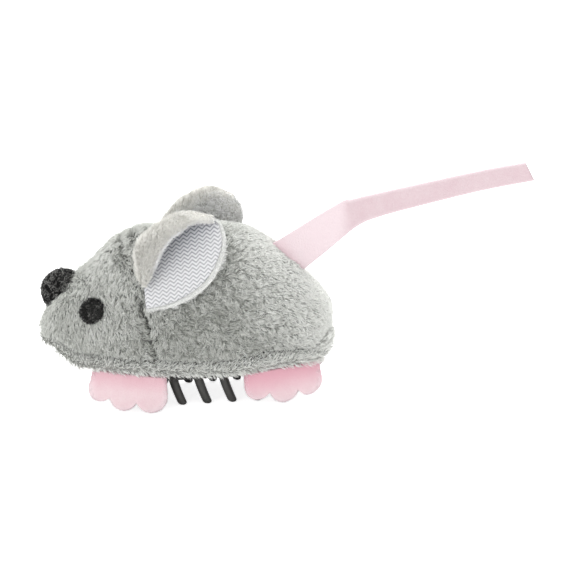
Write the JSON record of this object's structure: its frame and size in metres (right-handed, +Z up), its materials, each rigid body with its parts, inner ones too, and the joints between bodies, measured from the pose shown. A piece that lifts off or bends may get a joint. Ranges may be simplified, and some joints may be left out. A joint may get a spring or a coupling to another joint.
{
  "type": "mouse cat toy",
  "caption": "Plush mouse for cats over a vibrating crawler: rolled ears, black nose and eyes, felt paws and tail, and angled rubber legs that carry it forward.",
  "frame": {"origin": "on the floor, under the middle of the whole toy with its tail", "axes": "+X from the snout to the tail's tip, +Y to the mouse's right side, +Z up"},
  "size_m": [0.0928, 0.0312, 0.0397],
  "materials": {
    "plush": "short grey knitted pile",
    "ear_plush": "pale pile outside, white knit inside",
    "black_plush": "black curly pile",
    "felt": "pink needled felt",
    "fibre": "white loose fibre",
    "black_rubber": "black moulded rubber",
    "grey_plastic": "dark grey moulded plastic",
    "dark_plastic": "black moulded plastic",
    "slider_plastic": "black moulded plastic",
    "steel": "drawn and nickelled steel",
    "weight_metal": "sintered heavy metal",
    "board": "green resist on glass fibre",
    "capacitor": "ceramic block with tinned ends",
    "contact_metal": "sprung brass strip",
    "red_sleeve": "red sleeve",
    "blue_sleeve": "blue sleeve"
  },
  "bodies": {
    "toy": {"face_left": "plush", "face_right": "plush", "back_left": "plush", "back_right": "plush", "belly_panel": "plush", "stuffing": "fibre", "nose": "black_plush", "eye_left": "black_plush", "eye_right": "black_plush", "chassis": "grey_plastic", "top_shell": "dark_plastic", "leg_row_left": "black_rubber", "leg_row_right": "black_rubber", "motor_can": "steel", "motor_cap": "dark_plastic", "circuit_board": "board", "capacitor": "capacitor", "motor_lead_red": "red_sleeve", "motor_lead_blue": "blue_sleeve", "contact_negative": "contact_metal", "contact_positive": "contact_metal", "switch_body": "steel"},
    "rotor": {"motor_shaft": "steel", "eccentric_weight": "weight_metal"},
    "slider": {"switch_slider": "slider_plastic"},
    "door": {"cell_door": "dark_plastic"},
    "screw": {"door_screw": "steel"},
    "cell": {"button_cell": "steel"},
    "tail": {"tail": "felt"},
    "ear_left": {"ear_left": "ear_plush"},
    "ear_right": {"ear_right": "ear_plush"},
    "paw_front_left": {"paw_front_left": "felt"},
    "paw_front_right": {"paw_front_right": "felt"},
    "paw_rear_left": {"paw_rear_left": "felt"},
    "paw_rear_right": {"paw_rear_right": "felt"}
  },
  "joints": [
    {"name": "weight_spin", "type": "hinge", "parent": "toy", "child": "rotor", "pos_m": [-0.0344, 0, 0.0125], "axis": [1, 0, 0], "continuous": true},
    {"name": "switch_slide", "type": "slide", "parent": "toy", "child": "slider", "axis": [1, 0, 0], "range_m": [0, 0.002]},
    {"name": "door_out", "type": "slide", "parent": "toy", "child": "door", "axis": [0, 0, -1], "range_m": [0, 0.02]},
    {"name": "screw_turn", "type": "hinge", "parent": "door", "child": "screw", "pos_m": [-0.0145, 0, 0.0053], "axis": [0, 0, 1], "continuous": true},
    {"name": "cell_out", "type": "slide", "parent": "toy", "child": "cell", "axis": [0, 0, -1], "range_m": [0, 0.012]},
    {"name": "tail_wag", "type": "hinge", "parent": "toy", "child": "tail", "pos_m": [0.0037, 0, 0.0219], "axis": [-0.6362, 0, 0.7715], "range_deg": [-30, 30], "stiffness_Nm_per_rad": 0.0002},
    {"name": "ear_left_fold", "type": "hinge", "parent": "toy", "child": "ear_left", "pos_m": [-0.0229, -0.0119, 0.0199], "axis": [0.7835, 0, -0.6214], "range_deg": [0, 30], "stiffness_Nm_per_rad": 0.0001},
    {"name": "ear_right_fold", "type": "hinge", "parent": "toy", "child": "ear_right", "pos_m": [-0.0229, 0.0119, 0.0199], "axis": [-0.7835, 0, 0.6214], "range_deg": [0, 30], "stiffness_Nm_per_rad": 0.0001},
    {"name": "paw_front_left_flap", "type": "hinge", "parent": "toy", "child": "paw_front_left", "pos_m": [-0.0289, -0.01073, 0.00783], "axis": [-0.9755, 0.2195, 0.0174], "range_deg": [0, 30], "stiffness_Nm_per_rad": 0.00002},
    {"name": "paw_front_right_flap", "type": "hinge", "parent": "toy", "child": "paw_front_right", "pos_m": [-0.0289, 0.01073, 0.00783], "axis": [0.9755, 0.2195, -0.0174], "range_deg": [0, 30], "stiffness_Nm_per_rad": 0.00002},
    {"name": "paw_rear_left_flap", "type": "hinge", "parent": "toy", "child": "paw_rear_left", "pos_m": [-0.00185, -0.0101, 0.00702], "axis": [-0.9604, -0.2786, 0.0037], "range_deg": [0, 30], "stiffness_Nm_per_rad": 0.00002},
    {"name": "paw_rear_right_flap", "type": "hinge", "parent": "toy", "child": "paw_rear_right", "pos_m": [-0.00185, 0.0101, 0.00702], "axis": [0.9604, -0.2786, -0.0037], "range_deg": [0, 30], "stiffness_Nm_per_rad": 0.00002}
  ],
  "couplings": [
    {"joint": "cell_out", "follows": "door_out", "ratio": 0.6}
  ]
}
